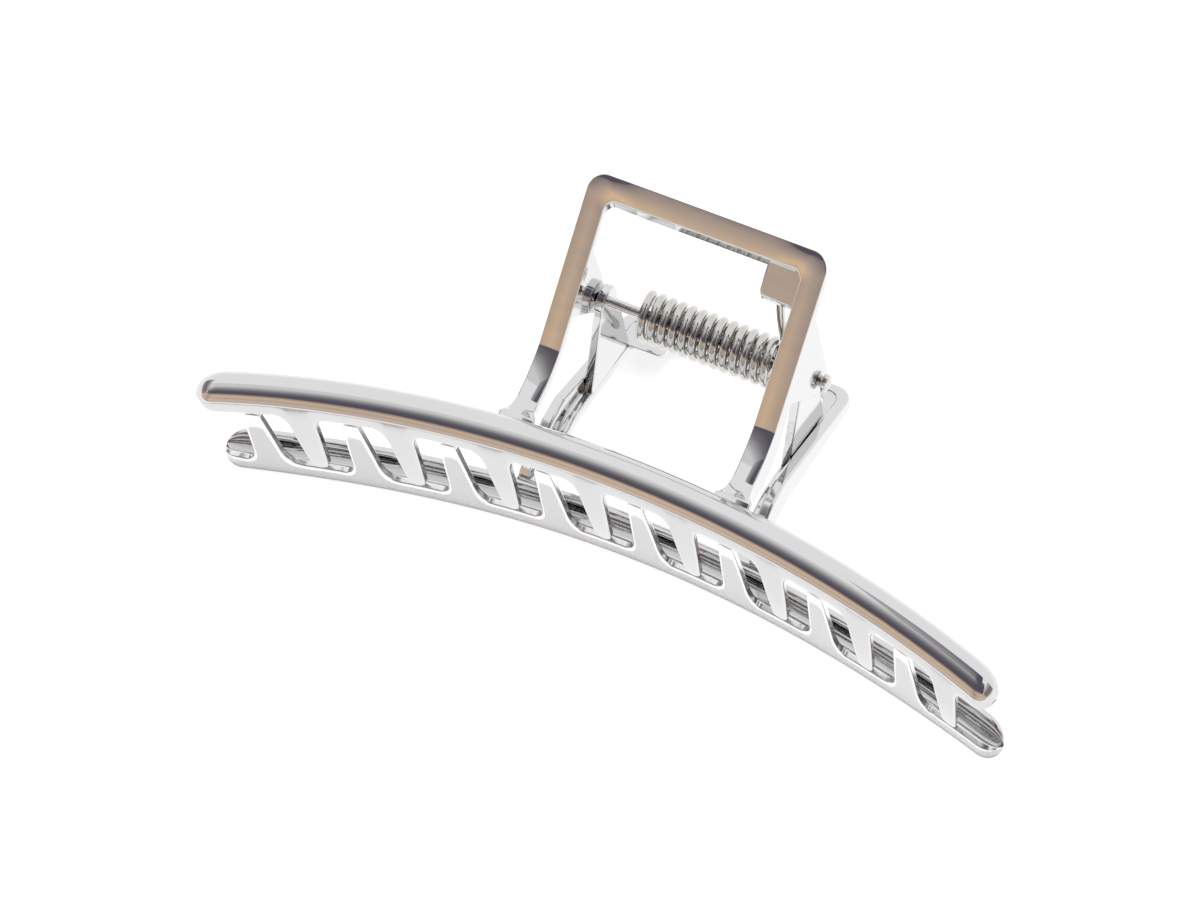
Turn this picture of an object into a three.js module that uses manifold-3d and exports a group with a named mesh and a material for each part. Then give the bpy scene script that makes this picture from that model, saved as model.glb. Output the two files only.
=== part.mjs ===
// Metal hair claw with two toothed jaws, a hinge pin and a torsion spring.
//
// Each jaw is one casting: a long bowed spine, a comb of eight teeth, and a square
// handle frame on two legs with hinge lugs. The jaws mirror each other through the
// pin, so the lower jaw is the same design turned half a turn about the line that
// runs from the teeth to the handles, with its lugs inside the upper jaw's lugs.
//
// Clip frame (before it is laid down): x along the pin, y from the teeth towards the
// handles, z from the lower jaw to the upper jaw, with the pin's axis at y = z = 0.
// Millimetres throughout.

import * as THREE from 'three';
import { mergeVertices } from 'three/addons/utils/BufferGeometryUtils.js';
import Module from 'manifold-3d';

const wasm = await Module();
wasm.setup();

// ---- driving dimensions ---------------------------------------------------------

const SPINE_HALF = 51.8;          // half the length of a jaw's spine
const SPINE_Y_MIDDLE = -23.4;     // spine centre at the middle of its length
const SPINE_Y_END = -31.8;        // spine centre at its ends
const SPINE_Z_MIDDLE = 11.6;
const SPINE_Z_END = 9.7;
const NOSE = 2.9;                 // length of each rounded nose
const NOSE_TIP = 0.3;             // what is left of the section at the very tip
const SPINE_STEPS = 34;

const ROD_HALF_WIDTH = 2.35;      // spine section, across the jaw
const ROD_TOP = 2.2;              // above the spine centre
const ROD_FRONT_EDGE = 1.15;      // where the domed top meets the flat front
const BACK_WALL = 1.7;            // thickness of the wall behind the groove
const LIP_BOTTOM = -2.3;          // front lip's rim, below the spine centre
const LIP_THICK = 1.0;
const GROOVE_TOP = -0.45;

const TOOTH_COUNT = 8;
const TOOTH_PITCH = 12;
const FIRST_TOOTH_X = -39;
const TOOTH_ROOT_HALF = 2.9;
const TOOTH_MID_HALF = 1.6;
const TOOTH_TIP_HALF = 1.0;
const TOOTH_TIP_GAP = 0.45;       // from a tip to the other jaw's rim

const HANDLE_HALF = 15.4;         // half the handle's width
const BAR_WIDTH = 2.8;            // a handle bar, seen from outside
const FAR_BAR_WIDTH = 2.5;        // the far bar, in plan
const FACE_THICK = 1.9;
const LEG_ROOT = [-22.0, 11.4];   // outer face inside the spine: y, z
const LEG_FILLET = [-20.8, 11.2]; // where the face leaves the spine
const LEG_DIP = [-19.4, 10.1];
const LEG_FLAT = [-17.4, 9.95];   // from here the face rises evenly to the bend
const BEND = [-11.8, 11.0];       // outer face at the bend
const HANDLE_END = [7.2, 22.8];   // outer face at the handle's end
const OUTER_CORNER = 2.2;
const INNER_CORNER = 1.2;
const ROOT_FILLET = 1.2;

const RAIL_WIDTH = 1.7;           // stiffening rail under each bar's outer side
const RAIL_DEPTH = 5.3;

const LUG_THICK = 1.2;
const LUG_RADIUS = 2.1;
const LUG_PLAY = 0.35;            // side gap between the two jaws' lugs
const LUG_FRONT = [-8.6, 12.0];   // lug root, front
const LUG_BACK = [1.6, 16.8];     // lug root, back

const TAB_WIDTH = 4.5;            // spring seat in one far corner, along the pin
const TAB_LENGTH = 3.5;
const TAB_THICK = 1.3;
const TAB_RECESS = 0.9;

const PIN_RADIUS = 0.7;
const PIN_CLEARANCE = 0.3;
const PIN_HEAD_RADIUS = 1.2;
const PIN_HEAD_HEIGHT = 0.9;

const COIL_RADIUS = 2.7;          // to the wire's centre
const WIRE_RADIUS = 0.56;
const COIL_HALF = 8.8;
const COIL_TURNS = 13;
const SPRING_FOOT = [10.3, 3.0, 16.9];  // where a spring leg bears on its seat
const SPRING_STEPS = 222;

const REST_TILT = 15.07;          // degrees, when the clip lies on its lower jaw

// ---- solids ---------------------------------------------------------------------

function toSolid(geometry) {
  geometry.deleteAttribute('normal');
  geometry.deleteAttribute('uv');
  const merged = mergeVertices(geometry, 1e-4);
  return new wasm.Manifold(new wasm.Mesh({
    numProp: 3,
    vertProperties: new Float32Array(merged.attributes.position.array),
    triVerts: new Uint32Array(merged.index.array),
  }));
}

function toGeometry(solid) {
  const mesh = solid.getMesh();
  const geometry = new THREE.BufferGeometry();
  geometry.setAttribute('position', new THREE.BufferAttribute(mesh.vertProperties, 3));
  geometry.setIndex(new THREE.BufferAttribute(mesh.triVerts, 1));
  geometry.computeVertexNormals();
  return geometry;
}

function moveVertices(geometry, place) {
  const position = geometry.attributes.position;
  const v = new THREE.Vector3();
  for (let i = 0; i < position.count; i += 1) {
    v.fromBufferAttribute(position, i);
    position.setXYZ(i, ...place(v.x, v.y, v.z));
  }
  return geometry;
}

function outline(points) {
  return new THREE.Shape(points.map(([a, b]) => new THREE.Vector2(a, b)));
}

// A side profile in y and z, extruded along x between two planes.
function sidePlate(points, xFrom, xTo) {
  const geometry = new THREE.ExtrudeGeometry(outline(points), {
    depth: xTo - xFrom, bevelEnabled: false,
  });
  return toSolid(moveVertices(geometry, (y, z, along) => [xFrom + along, y, z]));
}

// ---- the spine ------------------------------------------------------------------

function spineY(x) {
  const t = x / SPINE_HALF;
  return SPINE_Y_MIDDLE + (SPINE_Y_END - SPINE_Y_MIDDLE) * t * t;
}

function spineZ(x) {
  const t = x / SPINE_HALF;
  return SPINE_Z_MIDDLE + (SPINE_Z_END - SPINE_Z_MIDDLE) * t ** 4;
}

function noseScale(x) {
  const into = Math.max(0, Math.abs(x) - (SPINE_HALF - NOSE)) / NOSE;
  return Math.max(NOSE_TIP, Math.sqrt(Math.max(0, 1 - into * into)));
}

// The section looks along the spine: a points forwards to the teeth, b points outwards.
// A domed top, a thin flat lip in front, a rounded wall behind and a groove between them.
function spineSection() {
  const lipInner = ROD_HALF_WIDTH - LIP_THICK;
  const rimRadius = BACK_WALL / 2;
  const rimCentre = -ROD_HALF_WIDTH + rimRadius;
  const middle = -0.1;
  const section = new THREE.Shape();
  section.moveTo(ROD_HALF_WIDTH, LIP_BOTTOM);
  section.lineTo(ROD_HALF_WIDTH, ROD_FRONT_EDGE);
  section.quadraticCurveTo(ROD_HALF_WIDTH / 2, ROD_TOP, 0, ROD_TOP);
  section.absellipse(0, middle, ROD_HALF_WIDTH, ROD_TOP - middle, Math.PI / 2, Math.PI, false);
  section.absellipse(
    rimCentre, middle, rimRadius, middle - LIP_BOTTOM, Math.PI, Math.PI * 1.9, false);
  section.lineTo(rimCentre + rimRadius, GROOVE_TOP);
  section.lineTo(lipInner, GROOVE_TOP);
  section.lineTo(lipInner, LIP_BOTTOM);
  return section;
}

function spineSolid() {
  const geometry = new THREE.ExtrudeGeometry(spineSection(), {
    depth: 1, steps: SPINE_STEPS, bevelEnabled: false, curveSegments: 6,
  });
  return toSolid(moveVertices(geometry, (a, b, along) => {
    const x = SPINE_HALF * Math.sin((0.5 - along) * Math.PI);
    const scale = noseScale(x);
    return [x, spineY(x) - a * scale, spineZ(x) + b * scale];
  }));
}

// ---- the teeth ------------------------------------------------------------------

function toothSolid(x0) {
  const root = spineZ(x0) + LIP_BOTTOM;
  const tip = -spineZ(x0) - LIP_BOTTOM + TOOTH_TIP_GAP;
  const length = root - tip;
  const shape = new THREE.Shape();
  shape.moveTo(-TOOTH_ROOT_HALF, root + LIP_THICK);
  shape.lineTo(-TOOTH_ROOT_HALF, root);
  shape.quadraticCurveTo(-TOOTH_MID_HALF - 0.2, root, -TOOTH_MID_HALF, root - length * 0.25);
  shape.lineTo(-TOOTH_TIP_HALF, tip + TOOTH_TIP_HALF);
  shape.absarc(0, tip + TOOTH_TIP_HALF, TOOTH_TIP_HALF, Math.PI, Math.PI * 2, false);
  shape.lineTo(TOOTH_MID_HALF, root - length * 0.25);
  shape.quadraticCurveTo(TOOTH_MID_HALF + 0.2, root, TOOTH_ROOT_HALF, root);
  shape.lineTo(TOOTH_ROOT_HALF, root + LIP_THICK);
  const geometry = new THREE.ExtrudeGeometry(shape, {
    depth: LIP_THICK, bevelEnabled: false, curveSegments: 4,
  });
  const slack = 0.03;             // keeps the tooth's faces inside the lip's own faces
  return toSolid(moveVertices(geometry, (u, z, along) => {
    const x = x0 + u;
    const forward = ROD_HALF_WIDTH - LIP_THICK + slack + along * (1 - 2 * slack);
    return [x, spineY(x) - forward, z];
  }));
}

// ---- the handle frame and its legs ----------------------------------------------

function inward(point, distance) {
  return [point[0], point[1] - distance];
}

function facePlate() {
  const profile = [
    LEG_ROOT, LEG_FILLET, LEG_DIP, LEG_FLAT, BEND, HANDLE_END,
    inward(HANDLE_END, FACE_THICK * 1.15), inward(BEND, FACE_THICK),
    inward(LEG_FLAT, FACE_THICK), inward(LEG_DIP, FACE_THICK * 0.9),
    inward(LEG_FILLET, FACE_THICK), inward(LEG_ROOT, FACE_THICK),
  ];
  return sidePlate(profile, -HANDLE_HALF - ROOT_FILLET, HANDLE_HALF + ROOT_FILLET);
}

// The frame in plan: an outer outline with a window cut in it.
function framePlan() {
  const outer = HANDLE_HALF;
  const inner = HANDLE_HALF - BAR_WIDTH;
  const front = LEG_ROOT[0];
  const back = HANDLE_END[0];
  const root = LEG_FILLET[0] + ROOT_FILLET;
  const shape = new THREE.Shape();
  shape.moveTo(-outer - ROOT_FILLET, front);
  shape.lineTo(outer + ROOT_FILLET, front);
  shape.quadraticCurveTo(outer, root - ROOT_FILLET, outer, root + 1);
  shape.lineTo(outer, back - OUTER_CORNER);
  shape.absarc(outer - OUTER_CORNER, back - OUTER_CORNER, OUTER_CORNER, 0, Math.PI / 2, false);
  shape.lineTo(-outer + OUTER_CORNER, back);
  shape.absarc(-outer + OUTER_CORNER, back - OUTER_CORNER, OUTER_CORNER, Math.PI / 2, Math.PI, false);
  shape.lineTo(-outer, root + 1);
  shape.quadraticCurveTo(-outer, root - ROOT_FILLET, -outer - ROOT_FILLET, front);
  const hole = new THREE.Path();
  const far = back - FAR_BAR_WIDTH;
  const near = SPINE_Y_MIDDLE + ROD_HALF_WIDTH - 0.6;
  hole.moveTo(-inner + INNER_CORNER, near);
  hole.lineTo(inner - INNER_CORNER, near);
  hole.absarc(inner - INNER_CORNER, near + INNER_CORNER, INNER_CORNER, -Math.PI / 2, 0, false);
  hole.lineTo(inner, far - INNER_CORNER);
  hole.absarc(inner - INNER_CORNER, far - INNER_CORNER, INNER_CORNER, 0, Math.PI / 2, false);
  hole.lineTo(-inner + INNER_CORNER, far);
  hole.absarc(-inner + INNER_CORNER, far - INNER_CORNER, INNER_CORNER, Math.PI / 2, Math.PI, false);
  hole.lineTo(-inner, near + INNER_CORNER);
  hole.absarc(-inner + INNER_CORNER, near + INNER_CORNER, INNER_CORNER, Math.PI, Math.PI * 1.5, false);
  shape.holes.push(hole);
  const height = HANDLE_END[1] + 4;
  const geometry = new THREE.ExtrudeGeometry(shape, {
    depth: height, bevelEnabled: false, curveSegments: 3,
  });
  return toSolid(geometry);
}

// The rail runs under the outer side of a leg and a handle bar and fades out at both ends.
function railProfile() {
  const top = 0.5;
  const end = [HANDLE_END[0] - 2.4, HANDLE_END[1] - 1.5];
  return [
    inward(LEG_ROOT, top), inward(LEG_FILLET, top), inward(LEG_DIP, top), inward(LEG_FLAT, top),
    inward(BEND, top), inward(end, top), inward(end, 2.2), inward(BEND, RAIL_DEPTH),
    inward(LEG_FLAT, RAIL_DEPTH * 0.9), inward(LEG_DIP, RAIL_DEPTH * 0.7),
    inward(LEG_FILLET, RAIL_DEPTH * 0.5), inward(LEG_ROOT, RAIL_DEPTH * 0.35),
  ];
}

function lugProfile() {
  const points = [LUG_FRONT, LUG_BACK];
  const arcSteps = 10;
  for (let i = 0; i <= arcSteps; i += 1) {
    const angle = Math.PI * (-0.02 - 0.92 * i / arcSteps);
    points.push([LUG_RADIUS * Math.cos(angle), LUG_RADIUS * Math.sin(angle)]);
  }
  return points.reverse();
}

function seatTab() {
  const inner = HANDLE_HALF - BAR_WIDTH;
  const back = HANDLE_END[0] - FAR_BAR_WIDTH;
  const slope = (HANDLE_END[1] - BEND[1]) / (HANDLE_END[0] - BEND[0]);
  const faceAt = (y) => BEND[1] + slope * (y - BEND[0]) - TAB_RECESS;
  const front = back - TAB_LENGTH;
  const into = 0.8;               // how far the tab runs into the bars
  const profile = [
    [front, faceAt(front)], [back + into, faceAt(back + into)],
    [back + into, faceAt(back + into) - TAB_THICK * 0.8], [front, faceAt(front) - TAB_THICK],
  ];
  return sidePlate(profile, inner - TAB_WIDTH, inner + into);
}

function pinBore() {
  const bore = new THREE.CylinderGeometry(
    PIN_RADIUS + PIN_CLEARANCE, PIN_RADIUS + PIN_CLEARANCE, HANDLE_HALF * 2 + 8, 20);
  bore.rotateZ(Math.PI / 2);
  return toSolid(bore);
}

// lugOuter is the outer face of each lug, measured from the middle of the clip.
function jawGeometry(lugOuter) {
  const frame = facePlate().intersect(framePlan());
  let jaw = spineSolid().add(frame).add(seatTab());
  for (const side of [-1, 1]) {
    const at = (from, to) => (side > 0 ? [from, to] : [-to, -from]);
    jaw = jaw.add(sidePlate(railProfile(), ...at(HANDLE_HALF - RAIL_WIDTH, HANDLE_HALF)));
    jaw = jaw.add(sidePlate(lugProfile(), ...at(lugOuter - LUG_THICK, lugOuter)));
  }
  for (let i = 0; i < TOOTH_COUNT; i += 1) {
    jaw = jaw.add(toothSolid(FIRST_TOOTH_X + i * TOOTH_PITCH));
  }
  return toGeometry(jaw.subtract(pinBore()));
}

// ---- hinge pin and torsion spring -----------------------------------------------

function pinGeometry() {
  const shoulder = HANDLE_HALF + PIN_CLEARANCE;
  const end = shoulder + PIN_HEAD_HEIGHT;
  const dome = (side) => [
    [PIN_HEAD_RADIUS, side * (shoulder + 0.25)],
    [PIN_HEAD_RADIUS * 0.82, side * (shoulder + PIN_HEAD_HEIGHT * 0.72)],
    [PIN_HEAD_RADIUS * 0.45, side * (end - 0.06)],
  ];
  const profile = [
    [0, -end], ...dome(-1).reverse(), [PIN_HEAD_RADIUS, -shoulder], [PIN_RADIUS, -shoulder],
    [PIN_RADIUS, shoulder], [PIN_HEAD_RADIUS, shoulder], ...dome(1), [0, end],
  ];
  const geometry = new THREE.LatheGeometry(profile.map(([r, y]) => new THREE.Vector2(r, y)), 20);
  geometry.rotateZ(-Math.PI / 2);
  return toGeometry(toSolid(geometry));
}

// The wire's centre line: a foot on the lower jaw's seat, the coil, a foot on the upper's.
class SpringWire extends THREE.Curve {
  constructor() {
    super();
    const [, footY, footZ] = SPRING_FOOT;
    const reach = Math.hypot(footY, footZ);
    this.leave = Math.atan2(footZ, footY) - Math.acos(COIL_RADIUS / reach);
    this.legLength = Math.sqrt(reach ** 2 - COIL_RADIUS ** 2);
    this.sweep = COIL_TURNS * Math.PI * 2 + 2 * this.leave;
    this.coilLength = this.sweep * COIL_RADIUS;
  }

  onLeg(side, fraction) {
    const angle = side * this.leave;
    const run = fraction * this.legLength;
    const spread = SPRING_FOOT[0] - COIL_HALF;
    return new THREE.Vector3(
      side * (COIL_HALF + spread * fraction * fraction),
      COIL_RADIUS * Math.cos(angle) - run * Math.sin(angle) * side,
      COIL_RADIUS * Math.sin(angle) + run * Math.cos(angle) * side,
    );
  }

  getPoint(t) {
    const total = this.coilLength + 2 * this.legLength;
    const run = t * total;
    if (run < this.legLength) {
      return this.onLeg(-1, 1 - run / this.legLength);
    }
    if (run > total - this.legLength) {
      return this.onLeg(1, 1 - (total - run) / this.legLength);
    }
    const turn = (run - this.legLength) / this.coilLength;
    const angle = -this.leave + this.sweep * turn;
    return new THREE.Vector3(
      COIL_HALF * (2 * turn - 1), COIL_RADIUS * Math.cos(angle), COIL_RADIUS * Math.sin(angle));
  }
}

function springGeometry() {
  const section = new THREE.Shape();
  section.absarc(0, 0, WIRE_RADIUS, 0, Math.PI * 2, false);
  const geometry = new THREE.ExtrudeGeometry(section, {
    steps: SPRING_STEPS, extrudePath: new SpringWire(), curveSegments: 4, bevelEnabled: false,
  });
  return toGeometry(toSolid(geometry));
}

// ---- assembly -------------------------------------------------------------------

const chrome = { color: 0xd6d6d4, roughness: 0.12, metalness: 1.0 };
const steel = { color: 0xc9c8c4, roughness: 0.2, metalness: 1.0 };

function part(name, geometry, look) {
  const mesh = new THREE.Mesh(geometry, new THREE.MeshStandardMaterial(look));
  mesh.name = name;
  return mesh;
}

const upperLugOuter = HANDLE_HALF;
const lowerLugOuter = HANDLE_HALF - LUG_THICK - LUG_PLAY;

const upperJaw = part('upper_jaw', jawGeometry(upperLugOuter), chrome);
const lowerJaw = part('lower_jaw', jawGeometry(lowerLugOuter), chrome);
lowerJaw.rotation.y = Math.PI;
const pin = part('hinge_pin', pinGeometry(), steel);
const spring = part('torsion_spring', springGeometry(), steel);

// The clip lies on its lower jaw: it is tilted until the lower spine and the lower
// handle's far bar both touch the ground, with the origin under the box's centre.
const clip = new THREE.Group();
clip.add(upperJaw, lowerJaw, pin, spring);
clip.rotation.x = THREE.MathUtils.degToRad(REST_TILT);

const model = new THREE.Group();
model.add(clip);
model.updateMatrixWorld(true);
const box = new THREE.Box3().setFromObject(model, true);
clip.position.set(
  -(box.min.x + box.max.x) / 2,
  -(box.min.y + box.max.y) / 2,
  -box.min.z,
);

export default model;
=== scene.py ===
import math

import bpy
import numpy as np
from mathutils import Matrix, Vector


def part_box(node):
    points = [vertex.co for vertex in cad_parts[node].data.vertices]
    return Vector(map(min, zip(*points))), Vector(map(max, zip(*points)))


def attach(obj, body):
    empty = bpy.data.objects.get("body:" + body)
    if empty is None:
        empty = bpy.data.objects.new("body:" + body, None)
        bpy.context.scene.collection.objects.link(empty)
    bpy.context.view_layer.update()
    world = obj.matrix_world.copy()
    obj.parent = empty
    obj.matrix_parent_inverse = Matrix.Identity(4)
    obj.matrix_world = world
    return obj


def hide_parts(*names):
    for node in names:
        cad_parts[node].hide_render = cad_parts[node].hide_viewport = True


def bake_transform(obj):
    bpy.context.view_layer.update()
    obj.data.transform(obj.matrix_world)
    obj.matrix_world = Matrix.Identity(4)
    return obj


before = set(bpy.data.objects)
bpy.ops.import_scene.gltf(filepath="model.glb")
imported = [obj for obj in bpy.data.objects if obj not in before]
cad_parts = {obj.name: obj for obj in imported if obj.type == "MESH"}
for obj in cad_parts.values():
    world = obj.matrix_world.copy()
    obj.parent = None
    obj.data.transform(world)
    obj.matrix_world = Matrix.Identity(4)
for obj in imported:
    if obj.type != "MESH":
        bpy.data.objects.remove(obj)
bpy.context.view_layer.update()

# Everything below is drawn in the clip frame, in millimetres: x along the pin, y from the
# teeth to the handles, z from the lower jaw to the upper jaw, with the pin's axis at zero.
REST_TILT = math.radians(15.07)
low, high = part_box("hinge_pin")
PIN = (low + high) / 2
CLIP = Matrix.Translation(PIN) @ Matrix.Rotation(REST_TILT, 4, "X") @ Matrix.Scale(0.001, 4)
JAWS = {
    "upper": CLIP,
    "lower": CLIP @ Matrix.Rotation(math.pi, 4, "Y"),
}

SPINE_HALF = 51.8
SPINE_Y = -23.4         # the spine's centre at the middle of its length
SPINE_Z = 11.6
SPINE_BOW = 8.4         # how far its ends come forward
SPINE_DROOP = 1.9       # and how far they come down
NOSE = 2.9
NOSE_SHIFT = 0.35

DOME_RADIUS = 3.16      # spine section: the domed top in front of its centre
DOME_TOP = 2.2
DOME_EDGE = math.radians(47.5)
BACK_HALF = 2.35        # the rounded back
BACK_RISE = 2.3
WALL_MIDDLE = -1.5      # the wall behind the groove
WALL_HALF = 0.85
WALL_DROP = 2.15
SECTION_WAIST = -0.1    # where the rounded back turns into that wall

LIP_BOTTOM = -2.3
LIP_FRONT = 2.27
LIP_BACK = 1.33
LIP_TOP = 0.8
RIM_RADIUS = 0.2

TOOTH_FIRST = -39.0
TOOTH_PITCH = 12.0
TOOTH_COUNT = 8
TOOTH_TIP_GAP = 0.45
TOOTH_ROOT_HALF = 3.1
TOOTH_NECK_HALF = 1.85
TOOTH_MID_HALF = 1.62
TOOTH_TIP_HALF = 1.08
ROOT_PART = 0.24        # share of a tooth's length taken by its curved root
TIP_PART = 0.07         # and by its round tip

HANDLE_HALF = 15.4
BAR = 2.8
FAR_BAR = 2.5
ROOT_Y = -20.9
ROOT_RISE = 0.6
ROOT_FLARE = 0.9
BEND_Y, BEND_Z = -11.8, 11.0
LEG_SLOPE = 0.43
LEG_CURVE = 0.0405
END_Y, END_Z = 7.2, 22.8
SLOPE = (END_Z - BEND_Z) / (END_Y - BEND_Y)
OUTER_CORNER = 2.2
INNER_CORNER = 1.2
FACE_THICK = 1.9
FACE_EDGE = 0.42        # radius of the face's edges
RAIL_WIDTH = 1.7
RAIL_DEPTH = 5.3
LEG_START = -22.2       # inside the spine
ROOT_FADE = 0.8
FLARE_FADE = 0.7
CROWN_FAR, CROWN_SIDE, CROWN_ROOT = 0.03, 0.06, 0.3

LUG_THICK = 1.2
LUG_RADIUS = 2.1
LUG_FRONT = (-8.6, 12.0)
LUG_BACK = (1.6, 16.8)
LUG_PLAY = 0.35
LUG_INSET = 0.06
TAB_WIDE = 4.5
TAB = 3.5
TAB_THICK = 1.3
TAB_RECESS = 0.9

PIN_RADIUS = 0.7
HEAD_RADIUS = 1.2
HEAD_GAP = 0.3
HEAD_HEIGHT = 0.9
COIL_RADIUS = 2.7
WIRE = 0.56
COIL_HALF = 8.8
COIL_SHIFT = 0.9
COIL_TURNS = 13
FOOT_X, FOOT_Y, FOOT_Z = 10.3, 3.0, 16.9    # where a spring leg bears on its seat


# ---- mesh helpers -----------------------------------------------------------------------

def make_object(name, verts, faces, matrix):
    mesh = bpy.data.meshes.new(name)
    mesh.from_pydata([tuple(v) for v in verts], [], faces)
    mesh.transform(matrix)
    mesh.validate()
    mesh.update()
    for polygon in mesh.polygons:
        polygon.use_smooth = True
    obj = bpy.data.objects.new(name, mesh)
    bpy.context.scene.collection.objects.link(obj)
    return obj


def ring_faces(count, size, offset=0):
    """Quads between rings of one size, each closed on itself."""
    faces = []
    for i in range(count - 1):
        for j in range(size):
            k = (j + 1) % size
            a, b = offset + i * size, offset + (i + 1) * size
            faces.append((a + j, a + k, b + k, b + j))
    return faces


def loft(name, rings, matrix):
    """A closed skin through rings of points, with its two ends filled."""
    rings = np.asarray(rings, float)
    count, size = rings.shape[:2]
    verts = rings.reshape(-1, 3)
    faces = ring_faces(count, size)
    ends = np.array([rings[0].mean(0), rings[-1].mean(0)])
    verts = np.vstack([verts, ends])
    first, last = count * size, count * size + 1
    for j in range(size):
        k = (j + 1) % size
        faces.append((first, k, j))
        base = (count - 1) * size
        faces.append((last, base + j, base + k))
    obj = make_object(name, verts, faces, matrix)
    face_outwards(obj)
    return obj


def face_outwards(obj):
    """Turns a closed mesh's faces out if its signed volume is negative."""
    mesh = obj.data
    mesh.calc_loop_triangles()
    co = np.array([v.co for v in mesh.vertices])
    tri = np.array([t.vertices[:] for t in mesh.loop_triangles])
    a, b, c = co[tri[:, 0]], co[tri[:, 1]], co[tri[:, 2]]
    if np.einsum("ij,ij->i", a, np.cross(b, c)).sum() < 0:
        mesh.flip_normals()


def rounded(points, radii, steps=5, hold=0.03):
    """A closed outline with arcs at its corners and a holding point beside each arc."""
    out = []
    n = len(points)
    p = [np.array(q, float) for q in points]
    for i in range(n):
        before, here, after = p[i - 1], p[i], p[(i + 1) % n]
        r = radii[i]
        to_a, to_b = before - here, after - here
        la, lb = np.linalg.norm(to_a), np.linalg.norm(to_b)
        if r <= 0 or la < 1e-9 or lb < 1e-9:
            out.append(here)
            continue
        to_a, to_b = to_a / la, to_b / lb
        half = math.acos(np.clip(to_a @ to_b, -1, 1)) / 2
        if half > math.radians(89):
            out.extend([here] * (steps + 3))
            continue
        reach = min(r / math.tan(half), 0.46 * la, 0.46 * lb)
        r = reach * math.tan(half)
        centre = here + (to_a + to_b) / np.linalg.norm(to_a + to_b) * (r / math.sin(half))
        start, end = here + to_a * reach, here + to_b * reach
        out.append(start + to_a * min(hold, 0.02 * la))
        s, e = start - centre, end - centre
        turn = math.atan2(s[0] * e[1] - s[1] * e[0], s @ e)
        for k in range(steps + 1):
            t = turn * k / steps
            c, d = math.cos(t), math.sin(t)
            out.append(centre + np.array([c * s[0] - d * s[1], d * s[0] + c * s[1]]))
        out.append(end + to_b * min(hold, 0.02 * lb))
    return np.array(out)


def outline_normals(points):
    """Outward normals of a closed counter-clockwise outline, at its points."""
    ahead = np.roll(points, -1, 0) - points
    behind = points - np.roll(points, 1, 0)
    ahead /= np.linalg.norm(ahead, axis=1)[:, None] + 1e-12
    behind /= np.linalg.norm(behind, axis=1)[:, None] + 1e-12
    tangent = ahead + behind
    tangent /= np.linalg.norm(tangent, axis=1)[:, None] + 1e-12
    return np.stack([tangent[:, 1], -tangent[:, 0]], 1)


def slab(name, outline, thick, radius, place, matrix, steps=4):
    """A plate with rounded rims. place turns an outline point and a depth into a point."""
    outline = np.asarray(outline, float)
    area = np.sum(outline[:, 0] * np.roll(outline[:, 1], -1)
                  - np.roll(outline[:, 0], -1) * outline[:, 1])
    if area < 0:
        outline = outline[::-1]
    normal = outline_normals(outline)
    levels = [(radius + 0.05, 0.0), (radius + 0.02, 0.0)]
    for k in range(steps + 1):
        t = math.pi / 2 * k / steps
        levels.append((radius * (1 - math.sin(t)), radius * (1 - math.cos(t))))
    levels.append((0.0, radius + 0.02))
    levels += [(inset, thick - depth) for inset, depth in reversed(levels)]
    rings = []
    for inset, depth in levels:
        flat = outline - normal * inset
        rings.append([place(u, v, depth) for u, v in flat])
    rings = np.array(rings)
    count, size = rings.shape[:2]
    faces = ring_faces(count, size)
    faces.append(tuple(reversed(range(size))))
    faces.append(tuple((count - 1) * size + j for j in range(size)))
    obj = make_object(name, rings.reshape(-1, 3), faces, matrix)
    face_outwards(obj)
    return obj


# ---- the spine ----------------------------------------------------------------------------

def spine_y(x):
    return SPINE_Y - SPINE_BOW * (x / SPINE_HALF) ** 2


def spine_z(x):
    return SPINE_Z - SPINE_DROOP * (x / SPINE_HALF) ** 4


def nose_scale(x):
    """The section's size at x: full along the spine, and rounding off to nothing at the tips."""
    into = max(0.0, abs(x) - (SPINE_HALF - NOSE)) / NOSE
    return math.sqrt(max(0.0, 1 - into * into))


def spine_section():
    """Looking along the spine: the first value is forwards, the second is outwards."""
    points = []
    for k in range(25):
        a = DOME_EDGE * (1 - k / 24)
        points.append((DOME_RADIUS * math.sin(a), DOME_TOP + DOME_RADIUS * (math.cos(a) - 1)))
    for k in range(1, 25):
        a = math.pi / 2 * k / 24
        points.append((-BACK_HALF * math.sin(a), SECTION_WAIST + BACK_RISE * math.cos(a)))
    for k in range(1, 15):
        a = math.pi * k / 15
        points.append((WALL_MIDDLE - WALL_HALF * math.cos(a),
                       SECTION_WAIST - WALL_DROP * math.sin(a) ** 0.42))
    # The groove's floor, then up behind the comb to the dome's front edge.
    points += [(-0.64, -0.62), (-0.5, -0.5), (-0.3, -0.45), (0.6, -0.45), (1.5, -0.45),
               (1.6, 0.5), (2.2, 0.92), (2.29, 0.96), (2.335, 1.02), (2.345, 1.08)]
    return np.array(points)


def spine_stations():
    inner = SPINE_HALF - NOSE
    middle = list(np.linspace(-inner, inner, 131))
    tip = [inner + NOSE * math.sin(math.radians(a)) for a in np.linspace(0, 86, 20)[1:]]
    return [-x for x in reversed(tip)] + middle + tip


def spine(side, matrix):
    section = spine_section()
    rings = []
    for x in spine_stations():
        scale = nose_scale(x)
        forward = section[:, 0] * scale - (1 - scale) * NOSE_SHIFT
        ring = np.stack([
            np.full(len(section), x),
            spine_y(x) - forward,
            spine_z(x) + section[:, 1] * scale,
        ], 1)
        rings.append(ring)
    return loft(side + "_spine", rings, matrix)


# ---- the comb: the thin front lip and its teeth, one curved plate -------------------------

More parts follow.
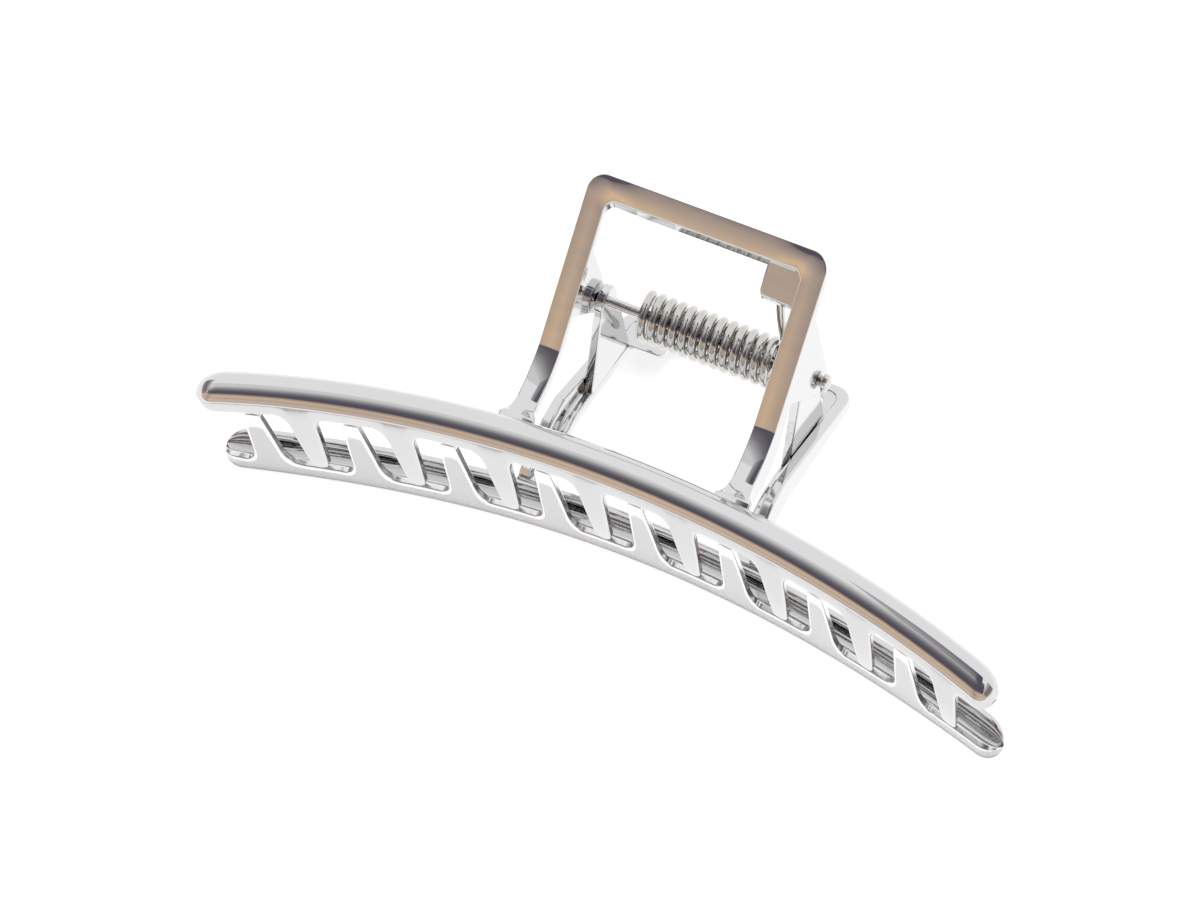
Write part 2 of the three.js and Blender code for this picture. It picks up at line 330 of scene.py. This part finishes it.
def comb_edge():
    """The comb's lower edge from left to right, as x and z pairs."""
    edge = []
    inner = SPINE_HALF - NOSE
    left = [-(inner + NOSE * math.sin(math.radians(a))) for a in np.linspace(80, 0, 16)]
    for x in left:
        edge.append((x, spine_z(x) + LIP_BOTTOM * nose_scale(x)))
    for i in range(TOOTH_COUNT):
        x0 = TOOTH_FIRST + i * TOOTH_PITCH
        root = spine_z(x0) + LIP_BOTTOM
        tip = -root + TOOTH_TIP_GAP
        length = root - tip
        side = []
        for k in range(13):
            t = k / 12
            half = ((1 - t) ** 2 * TOOTH_ROOT_HALF + 2 * t * (1 - t) * TOOTH_NECK_HALF
                    + t * t * TOOTH_MID_HALF)
            down = 2 * t * (1 - t) * 0.02 + t * t * ROOT_PART
            side.append((half, root - length * down))
        for k in range(1, 9):
            t = k / 8
            half = TOOTH_MID_HALF + (TOOTH_TIP_HALF - TOOTH_MID_HALF) * t ** 1.15
            side.append((half, root - length * (ROOT_PART + (1 - TIP_PART - ROOT_PART) * t)))
        for k in range(1, 9):
            a = math.pi / 2 * k / 8
            side.append((TOOTH_TIP_HALF * math.cos(a),
                         tip + length * TIP_PART * (1 - math.sin(a))))
        for u, z in side:
            edge.append((x0 - u, z))
        for u, z in reversed(side[:-1]):
            edge.append((x0 + u, z))
    for x in reversed(left):
        edge.append((-x, spine_z(x) + LIP_BOTTOM * nose_scale(x)))
    # Valleys between teeth get points of their own, so that the bow stays smooth.
    full = [edge[0]]
    for (xa, _), (xb, zb) in zip(edge, edge[1:]):
        gap = xb - xa
        if gap > 0.8:
            parts = int(gap / 0.5)
            for k in range(1, parts):
                x = xa + gap * k / parts
                full.append((x, spine_z(x) + LIP_BOTTOM * nose_scale(x)))
        full.append((xb, zb))
    return np.array(full)


def comb(side, matrix):
    edge = comb_edge()
    radius = RIM_RADIUS
    step = np.gradient(edge, axis=0)
    step /= np.linalg.norm(step, axis=1)[:, None] + 1e-12
    inward = np.stack([-step[:, 1], step[:, 0]], 1)
    thick = LIP_FRONT - LIP_BACK
    levels = [(None, 0.0), (radius + 0.05, 0.0), (radius + 0.02, 0.0)]
    for k in range(5):
        t = math.pi / 2 * k / 4
        levels.append((radius * (1 - math.sin(t)), radius * (1 - math.cos(t))))
    levels.append((0.0, radius + 0.02))
    levels += [(inset, thick - depth) for inset, depth in reversed(levels)]
    rings = []
    for inset, depth in levels:
        line = []
        for (x, z), (nx, nz) in zip(edge, inward):
            # Without an inset this is the plate's upper edge, hidden in the spine.
            if inset is None:
                px, pz = x, spine_z(x) + LIP_TOP * nose_scale(x)
            else:
                px, pz = x + nx * inset, z + nz * inset
            scale = nose_scale(x)
            forward = (LIP_FRONT - depth) * scale - (1 - scale) * NOSE_SHIFT
            line.append((px, spine_y(px) - forward, pz))
        rings.append(line)
    # Each cross-section is one closed loop, so the plate lofts from end to end.
    return loft(side + "_comb", np.array(rings).transpose(1, 0, 2), matrix)


# ---- the handle frame and its legs ---------------------------------------------------------

def face_z(y):
    """Height of the outer face: a hollow leg that rises to the bend, then the flat handle."""
    if y >= BEND_Y:
        return BEND_Z + SLOPE * (y - BEND_Y)
    from_bend = max(y, ROOT_Y) - BEND_Y
    leg = BEND_Z + LEG_SLOPE * from_bend + LEG_CURVE * from_bend ** 2
    return leg + ROOT_RISE * math.exp(-(max(y, ROOT_Y) - ROOT_Y) / ROOT_FADE)


def flare(y):
    """How much a leg widens, on each side, where it runs into the spine."""
    return ROOT_FLARE * math.exp(-(max(y, ROOT_Y) - ROOT_Y) / FLARE_FADE)


def rail_depth(y):
    """The rail is shallow in the spine, full depth along the leg, and fades to the far bar."""
    stations = [LEG_START, ROOT_Y, -18.5, -15.5, BEND_Y, 4.8, END_Y]
    depths = [1.7, 2.6, 4.4, RAIL_DEPTH, RAIL_DEPTH, 2.3, FACE_THICK + 0.3]
    return float(np.interp(y, stations, depths))


def frame_path():
    """Matching points on the frame's outer and inner edges, from the left leg's root round."""
    outer, inner = HANDLE_HALF, HANDLE_HALF - BAR
    far = END_Y - FAR_BAR
    corner_y = END_Y - OUTER_CORNER
    inner_y = far - INNER_CORNER
    # Stations lie closest together at the bend.
    before, after = BEND_Y - 0.6, BEND_Y + 0.6
    side = sorted(set(np.linspace(LEG_START, before, 40)) | set(np.linspace(before, after, 9))
                  | set(np.linspace(after, inner_y, 34)))
    stretch = (corner_y - after) / (inner_y - after)
    half = []
    for y in side:
        y_out = y if y < after else after + (y - after) * stretch
        half.append(((-outer - flare(y), y_out), (-inner + flare(y), y)))
    for k in range(1, 13):
        a = math.pi / 2 * k / 12
        half.append((
            (-outer + OUTER_CORNER * (1 - math.cos(a)), corner_y + OUTER_CORNER * math.sin(a)),
            (-inner + INNER_CORNER * (1 - math.cos(a)), inner_y + INNER_CORNER * math.sin(a)),
        ))
    steps = 24
    for k in range(1, steps + 1):
        t = k / steps
        # Along the far bar, up to its middle.
        half.append((
            ((-outer + OUTER_CORNER) * (1 - t), END_Y),
            ((-inner + INNER_CORNER) * (1 - t), far),
        ))
    mirror = [((-ox, oy), (-ix, iy)) for (ox, oy), (ix, iy) in reversed(half[:-1])]
    return half + mirror


def handle(side, matrix):
    """The frame's section swept round: a slightly crowned face with a rail on its outer side."""
    rings = []
    for (ox, oy), (ix, iy) in frame_path():
        width = math.hypot(ix - ox, iy - oy)
        # One on the side bars, fading to zero along the far bar, which has no rail.
        side_part = min(1.0, max(0.0, (abs(ox) - 9.0) / 4.4))
        root_part = min(1.0, max(0.0, (BEND_Y - oy) / (BEND_Y - ROOT_Y)))
        far_deep = FACE_THICK * 1.15
        thick = FACE_THICK * (1.15 - 0.15 * side_part)
        deep = max(far_deep + (rail_depth(oy) - far_deep) * side_part, thick + 0.02)
        crown = CROWN_FAR + CROWN_SIDE * side_part + CROWN_ROOT * root_part
        points, radii = [(0.0, 0.0)], [FACE_EDGE]
        for k in range(1, 8):
            t = k / 8
            points.append((width * t, -crown * (1 - (2 * t - 1) ** 2)))
            radii.append(0)
        points += [(width, 0.0), (width, thick), (RAIL_WIDTH, thick),
                   (RAIL_WIDTH - 0.2, deep), (0.0, deep)]
        radii += [FACE_EDGE, 0.3, 0.4, 0.35, 0.35]
        ring = []
        for u, depth in rounded(points, radii):
            t = u / width
            x, y = ox + (ix - ox) * t, oy + (iy - oy) * t
            ring.append((x, y, face_z(y) - depth))
        rings.append(ring)
    return loft(side + "_handle", rings, matrix)


def lug_outline():
    points = [LUG_FRONT, LUG_BACK]
    for k in range(23):
        a = math.pi * (-0.02 - 0.92 * k / 22)
        points.append((LUG_RADIUS * math.cos(a), LUG_RADIUS * math.sin(a)))
    return points


def lugs(side, matrix, outer):
    made = []
    for sign in (-1, 1):
        start = sign * outer

        def place(y, z, depth, sign=sign, start=start):
            return (start - sign * depth, y, z)

        name = f"{side}_lug_{'left' if sign < 0 else 'right'}"
        made.append(slab(name, lug_outline(), LUG_THICK, 0.22, place, matrix))
    return made


def seat(side, matrix):
    inner = HANDLE_HALF - BAR
    back = END_Y - FAR_BAR
    into = 0.8              # how far the seat runs into the bars
    points = [(inner - TAB_WIDE, back - TAB), (inner + into, back - TAB),
              (inner + into, back + into), (inner - TAB_WIDE, back + into)]
    outline = rounded(points, [0.8, 0, 0, 0], steps=8)

    def place(x, y, depth):
        return (x, y, BEND_Z + SLOPE * (y - BEND_Y) - TAB_RECESS - depth)

    return slab(side + "_spring_seat", outline, TAB_THICK, 0.25, place, matrix)


# ---- pin and spring ------------------------------------------------------------------------

def hinge_pin():
    shoulder = HANDLE_HALF + HEAD_GAP
    half = [(PIN_RADIUS, 0.0), (PIN_RADIUS, shoulder - 0.06), (PIN_RADIUS + 0.04, shoulder),
            (HEAD_RADIUS - 0.1, shoulder), (HEAD_RADIUS - 0.03, shoulder + 0.04),
            (HEAD_RADIUS, shoulder + 0.12)]
    for k in range(1, 13):
        a = math.pi / 2 * k / 12
        half.append((HEAD_RADIUS * math.cos(a) ** 0.75 + 0.001,
                     shoulder + HEAD_HEIGHT - 0.02 - 0.66 * (1 - math.sin(a))))
    profile = [(r, -x) for r, x in reversed(half)] + half[1:]
    sides = 48
    rings = []
    for r, x in profile:
        ring = []
        for j in range(sides):
            a = 2 * math.pi * j / sides
            # The peened ends are slightly uneven, as hammered metal is.
            uneven = 1 + (0.05 * math.sin(3 * a + x) if abs(x) > shoulder + 0.1 else 0)
            ring.append((x, r * uneven * math.cos(a), r * uneven * math.sin(a)))
        rings.append(ring)
    return loft("pin", rings, CLIP)


def wire_path():
    """The wire's centre line: a straight leg, the coil round the pin, and a second leg."""
    reach = math.hypot(FOOT_Y, FOOT_Z)
    leave = math.atan2(FOOT_Z, FOOT_Y) - math.acos(COIL_RADIUS / reach)
    leg = math.sqrt(reach ** 2 - COIL_RADIUS ** 2)
    sweep = COIL_TURNS * 2 * math.pi + 2 * leave
    spread = FOOT_X - COIL_HALF
    leg_steps, turn_steps = 40, 44

    def on_leg(side, fraction):
        a, run = side * leave, fraction * leg
        return (side * (COIL_HALF + spread * fraction ** 2) + COIL_SHIFT * (1 - fraction),
                COIL_RADIUS * math.cos(a) - run * math.sin(a) * side,
                COIL_RADIUS * math.sin(a) + run * math.cos(a) * side)

    points = [on_leg(-1, 1 - k / leg_steps) for k in range(leg_steps)]
    coil_steps = turn_steps * COIL_TURNS
    for k in range(coil_steps + 1):
        t = k / coil_steps
        a = -leave + sweep * t
        points.append((COIL_SHIFT + COIL_HALF * (2 * t - 1),
                       COIL_RADIUS * math.cos(a), COIL_RADIUS * math.sin(a)))
    points += [on_leg(1, k / leg_steps) for k in range(1, leg_steps + 1)]
    return np.array(points)


def spring():
    path = wire_path()
    tangent = np.gradient(path, axis=0)
    tangent /= np.linalg.norm(tangent, axis=1)[:, None]
    normal = np.cross(tangent[0], (0, 0, 1.0))
    angles = [2 * math.pi * j / 16 for j in range(16)]
    rings = []
    for i, (point, t) in enumerate(zip(path, tangent)):
        normal = normal - t * (normal @ t)
        normal /= np.linalg.norm(normal)
        other = np.cross(t, normal)
        # The wire's cut ends are slightly rounded.
        from_end = min(i, len(path) - 1 - i)
        radius = WIRE * {0: 0.75, 1: 0.93}.get(from_end, 1.0)
        rings.append([point + radius * (math.cos(a) * normal + math.sin(a) * other)
                      for a in angles])
    return loft("spring_wire", rings, CLIP)


# ---- materials -----------------------------------------------------------------------------

def blank_material(name):
    """A material with nothing but its output node."""
    material = bpy.data.materials.new(name)
    material.use_nodes = True
    nodes, links = material.node_tree.nodes, material.node_tree.links
    nodes.clear()
    return material, nodes, links, nodes.new("ShaderNodeOutputMaterial")


def metal(name, color, rough, rough_spread, wave, wave_scale, stretch, grain):
    """Plated metal: a mirror with faint smudges, fine grain and casting waves."""
    material, nodes, links, output = blank_material(name)
    shader = nodes.new("ShaderNodeBsdfPrincipled")
    shader.inputs["Metallic"].default_value = 1.0
    links.new(shader.outputs["BSDF"], output.inputs["Surface"])
    place = nodes.new("ShaderNodeTexCoord")
    shape = nodes.new("ShaderNodeMapping")
    shape.inputs["Scale"].default_value = stretch
    links.new(place.outputs["Object"], shape.inputs["Vector"])

    def noise(scale, detail):
        texture = nodes.new("ShaderNodeTexNoise")
        texture.inputs["Scale"].default_value = scale
        texture.inputs["Detail"].default_value = detail
        links.new(shape.outputs["Vector"], texture.inputs["Vector"])
        return texture.outputs["Fac"]

    tint = nodes.new("ShaderNodeMix")
    tint.data_type = "RGBA"
    tint.inputs["A"].default_value = (*[c * 0.965 for c in color], 1)
    tint.inputs["B"].default_value = (*color, 1)
    links.new(noise(260, 4), tint.inputs["Factor"])
    links.new(tint.outputs["Result"], shader.inputs["Base Color"])

    spread = nodes.new("ShaderNodeMapRange")
    spread.inputs["From Min"].default_value = 0.3
    spread.inputs["From Max"].default_value = 0.7
    spread.inputs["To Min"].default_value = rough
    spread.inputs["To Max"].default_value = rough + rough_spread
    links.new(noise(grain, 3), spread.inputs["Value"])
    links.new(spread.outputs["Result"], shader.inputs["Roughness"])

    bump = nodes.new("ShaderNodeBump")
    bump.inputs["Strength"].default_value = 1.0
    bump.inputs["Distance"].default_value = wave
    links.new(noise(wave_scale, 1.5), bump.inputs["Height"])
    links.new(bump.outputs["Normal"], shader.inputs["Normal"])
    return material


chrome = metal("jaw_chrome", (0.67, 0.67, 0.67), 0.04, 0.05, 0.000012, 420, (0.5, 1, 1), 2600)
# The combs are a softer chrome than the rest. The lower comb is the same plating, but its lighter
# base colour is painted light, standing in for the bright table it reflects.
comb_tone_and_painted_light = {"upper": (0.66, 0.66, 0.665), "lower": (0.84, 0.84, 0.845)}
satin = {side: metal(side + "_comb_chrome", color, 0.14, 0.10, 0.000010, 700, (1, 1, 1), 3600)
         for side, color in comb_tone_and_painted_light.items()}
pin_steel = metal("pin_steel", (0.66, 0.65, 0.63), 0.08, 0.08, 0.00004, 1400, (1, 1, 1), 4200)
wire_steel = metal("spring_steel", (0.60, 0.585, 0.56), 0.05, 0.05, 0.000006, 900, (1, 1, 1), 3000)


def finish_piece(obj, body, material):
    obj.data.materials.append(material)
    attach(obj, body)
    return obj


for side, matrix in JAWS.items():
    beam = spine(side, matrix)
    pieces = [beam, handle(side, matrix), seat(side, matrix)]
    outer = HANDLE_HALF - (LUG_INSET if side == "upper" else LUG_THICK + LUG_PLAY)
    pieces += lugs(side, matrix, outer)
    for piece in pieces:
        finish_piece(piece, side, chrome)
    finish_piece(comb(side, matrix), side, satin[side])
    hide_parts(side + "_jaw")

pin = finish_piece(hinge_pin(), "lower", pin_steel)
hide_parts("hinge_pin")

coil = spring()
coil.data.materials.append(wire_steel)
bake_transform(coil)
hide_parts("torsion_spring")


# ---- floor, light and camera ---------------------------------------------------------------

def fill_ramp(ramp, stops):
    """Gives a colour ramp its stops, each a position and a colour."""
    elements = ramp.color_ramp.elements
    while len(elements) < len(stops):
        elements.new(0.5)
    for element, (position, color) in zip(elements, stops):
        element.position = position
        element.color = (*color, 1)


def emitter(name, upward, sideways=None, slant=0.0, strength=1.0):
    """A card's glow: tones from the lower to the upper edge, times tones across it.

    With a slant, the upward tones shift evenly from the card's left side to its right.
    """
    material, nodes, links, output = blank_material(name)
    glow = nodes.new("ShaderNodeEmission")
    glow.inputs["Strength"].default_value = strength
    place = nodes.new("ShaderNodeTexCoord")
    split = nodes.new("ShaderNodeSeparateXYZ")
    links.new(place.outputs["Generated"], split.inputs["Vector"])
    lean = nodes.new("ShaderNodeMath")
    lean.operation = "MULTIPLY_ADD"
    lean.inputs[1].default_value = -slant
    lean.inputs[2].default_value = 0.5 * slant
    links.new(split.outputs["X"], lean.inputs[0])
    along = nodes.new("ShaderNodeMath")
    along.operation = "ADD"
    links.new(split.outputs["Y"], along.inputs[0])
    links.new(lean.outputs["Value"], along.inputs[1])
    ramp = nodes.new("ShaderNodeValToRGB")
    fill_ramp(ramp, upward)
    links.new(along.outputs["Value"], ramp.inputs["Fac"])
    color = ramp.outputs["Color"]
    if sideways:
        across = nodes.new("ShaderNodeValToRGB")
        fill_ramp(across, sideways)
        links.new(split.outputs["X"], across.inputs["Fac"])
        both = nodes.new("ShaderNodeMix")
        both.data_type = "RGBA"
        both.blend_type = "MULTIPLY"
        both.inputs["Factor"].default_value = 1.0
        links.new(color, both.inputs["A"])
        links.new(across.outputs["Color"], both.inputs["B"])
        color = both.outputs["Result"]
    links.new(color, glow.inputs["Color"])
    links.new(glow.outputs["Emission"], output.inputs["Surface"])
    return material


def card(name, azimuth, angle_from_up, distance, width, height, material):
    """A flat card facing the clip. The angle runs from straight up; azimuth is from the front."""
    a, z = math.radians(azimuth), math.radians(angle_from_up)
    direction = Vector((math.sin(a) * math.sin(z), -math.cos(a) * math.sin(z), math.cos(z)))
    mesh = bpy.data.meshes.new(name)
    w, h = width / 2, height / 2
    mesh.from_pydata([(-w, -h, 0), (w, -h, 0), (w, h, 0), (-w, h, 0)], [], [(0, 1, 2, 3)])
    mesh.materials.append(material)
    obj = bpy.data.objects.new(name, mesh)
    bpy.context.scene.collection.objects.link(obj)
    side_axis = Vector((math.cos(a), math.sin(a), 0))
    up_axis = direction.cross(side_axis)
    if up_axis.z < 0:
        up_axis = -up_axis
    basis = Matrix((side_axis, up_axis, direction)).transposed().to_4x4()
    obj.matrix_world = Matrix.Translation(PIN + direction * distance) @ basis
    obj.visible_camera = False
    obj.visible_diffuse = False
    obj.visible_shadow = False
    obj.visible_transmission = False


FLOOR_HALF = 3.0
floor_mesh = bpy.data.meshes.new("floor")
floor_mesh.from_pydata([(-FLOOR_HALF, -FLOOR_HALF, 0), (FLOOR_HALF, -FLOOR_HALF, 0),
                        (FLOOR_HALF, FLOOR_HALF, 0), (-FLOOR_HALF, FLOOR_HALF, 0)],
                       [], [(0, 1, 2, 3)])
floor = bpy.data.objects.new("floor", floor_mesh)
bpy.context.scene.collection.objects.link(floor)
paper = bpy.data.materials.new("floor_paper")
paper.use_nodes = True
paper_shader = paper.node_tree.nodes["Principled BSDF"]
paper_shader.inputs["Base Color"].default_value = (0.58, 0.58, 0.58, 1)
paper_shader.inputs["Emission Color"].default_value = (1.0, 1.0, 1.0, 1)
paper_shader.inputs["Emission Strength"].default_value = 0.55
paper_shader.inputs["Roughness"].default_value = 0.9
paper_shader.inputs["Specular IOR Level"].default_value = 0.1
floor_mesh.materials.append(paper)

world = bpy.data.worlds.new("studio")
bpy.context.scene.world = world
world.use_nodes = True
world.node_tree.nodes["Background"].inputs["Color"].default_value = (1.08, 1.08, 1.08, 1)
world.node_tree.nodes["Background"].inputs["Strength"].default_value = 1.0

lamp_data = bpy.data.lights.new("softbox", "AREA")
lamp_data.shape = "RECTANGLE"
lamp_data.size = 1.6
lamp_data.size_y = 1.2
lamp_data.energy = 14
lamp = bpy.data.objects.new("softbox", lamp_data)
lamp.location = (-0.35, 0.25, 1.3)
lamp.rotation_euler = (Vector((0, 0, 0)) - lamp.location).to_track_quat("-Z", "Y").to_euler()
lamp.visible_glossy = False
bpy.context.scene.collection.objects.link(lamp)

# What the mirror finish shows: something dark overhead, above a tan wall in front, with
# shaded sides and a white table.
dark = emitter("dark_card", [
    (0.0, (0.115, 0.105, 0.14)), (0.35, (0.13, 0.12, 0.15)), (0.55, (0.24, 0.23, 0.25)),
    (0.75, (0.52, 0.51, 0.53)), (0.95, (0.86, 0.85, 0.86)),
], slant=0.9)
tan = emitter("tan_card", [
    (0.0, (0.35, 0.24, 0.18)), (0.05, (0.55, 0.42, 0.34)), (0.12, (0.92, 0.72, 0.58)),
    (0.30, (0.88, 0.70, 0.56)), (0.47, (0.72, 0.57, 0.47)), (0.60, (0.82, 0.60, 0.43)),
    (0.70, (1.0, 0.70, 0.42)), (0.80, (0.72, 0.55, 0.42)), (0.90, (0.50, 0.40, 0.35)),
    (1.0, (0.30, 0.25, 0.24)),
], sideways=[
    (0.0, (1.0, 1.0, 1.0)), (0.25, (0.95, 0.95, 0.97)), (0.32, (0.66, 0.68, 0.76)),
    (0.42, (1.0, 1.0, 1.0)), (0.53, (0.64, 0.67, 0.78)), (0.62, (0.95, 0.95, 0.97)),
    (1.0, (1.0, 1.0, 1.0)),
])
shade = emitter("shade_card", [(0.0, (0.48, 0.38, 0.33)), (0.5, (0.22, 0.19, 0.20)),
                               (1.0, (0.75, 0.74, 0.75))])
table = emitter("table_card", [(0.0, (1.0, 1.0, 1.0)), (1.0, (1.0, 1.0, 1.0))], strength=1.2)
lens = emitter("lens_card", [(0.0, (0.12, 0.10, 0.12)), (0.55, (0.13, 0.12, 0.15)),
                             (1.0, (0.55, 0.54, 0.56))])
card("lens_reflection", 90, 16, 0.9, 0.62, 0.6, lens)
card("dark_reflection", 0, 27, 0.9, 1.9, 0.84, dark)
card("tan_reflection", 0, 71, 1.0, 3.4, 0.69, tan)
card("left_reflection", -84, 66, 1.2, 1.1, 0.7, shade)
card("right_reflection", 84, 66, 1.2, 1.1, 0.7, shade)
TABLE_LIFT = 0.00003    # just above the floor
card("table_reflection", 0, 180, PIN.z - TABLE_LIFT, 1.2, 1.2, table)

camera_data = bpy.data.cameras.new("camera")
camera_data.sensor_width = 36
camera_data.lens = 150
camera_data.clip_start = 0.01
camera = bpy.data.objects.new("camera", camera_data)
turn, elevation = math.radians(24.89), math.radians(55.65)
right = Vector((math.cos(turn), math.sin(turn), 0))
forward = Vector((-math.sin(turn) * math.cos(elevation), math.cos(turn) * math.cos(elevation),
                  -math.sin(elevation)))
up = right.cross(forward)
basis = Matrix((right, up, -forward)).transposed().to_4x4()
spot = PIN - right * 0.012628 - up * 0.014602 - forward * 0.60498
camera.matrix_world = Matrix.Translation(spot) @ basis
bpy.context.scene.collection.objects.link(camera)
bpy.context.scene.camera = camera

bpy.context.scene.view_settings.view_transform = "Standard"
bpy.context.scene.view_settings.look = "None"
